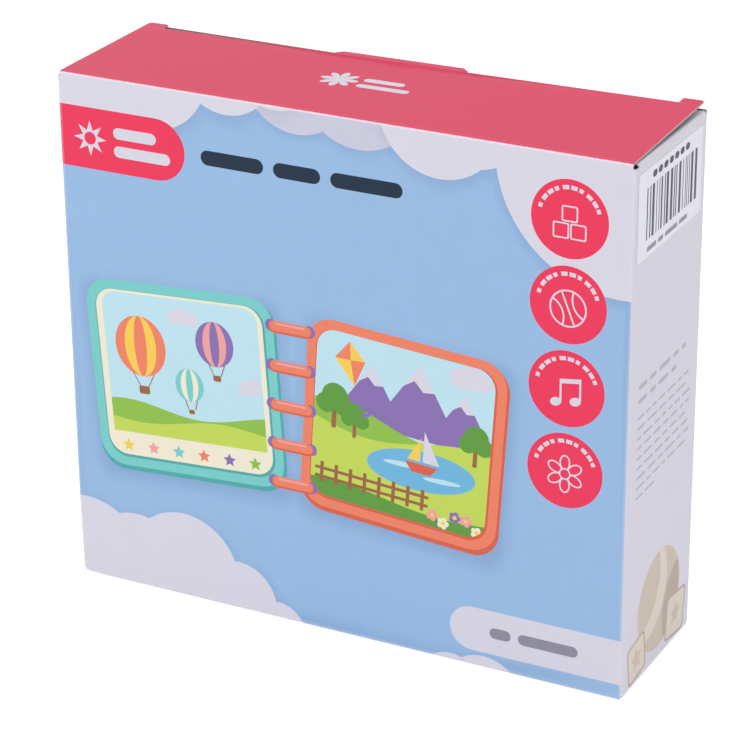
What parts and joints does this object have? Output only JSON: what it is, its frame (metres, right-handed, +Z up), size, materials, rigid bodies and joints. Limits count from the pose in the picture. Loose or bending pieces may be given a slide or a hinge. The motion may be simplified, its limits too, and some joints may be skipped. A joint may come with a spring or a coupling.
{
  "type": "retail carton",
  "caption": "Upright tuck-top carton of printed paperboard with a hinged lid, dust flaps, a glued bottom and a label on its side.",
  "frame": {"origin": "on the floor under the middle of the carton", "axes": "+Z up, +X to the right seen from the front, +Y from the front panel to the back panel"},
  "size_m": [0.2401, 0.068, 0.2185],
  "materials": {
    "printed_board": "satin coated white board, printed outside, plain grey inside",
    "red_board": "satin coated board printed red outside, plain grey inside",
    "label_paper": "matt white label paper"
  },
  "bodies": {
    "carton": {"carton_body": "printed_board", "side_label": "label_paper"},
    "lid": {"lid": "red_board"}
  },
  "joints": [
    {"name": "lid_fold", "type": "hinge", "parent": "carton", "child": "lid", "pos_m": [0, -0.03379, 0.21579], "axis": [1, 0, 0], "range_deg": [0, 180]}
  ]
}
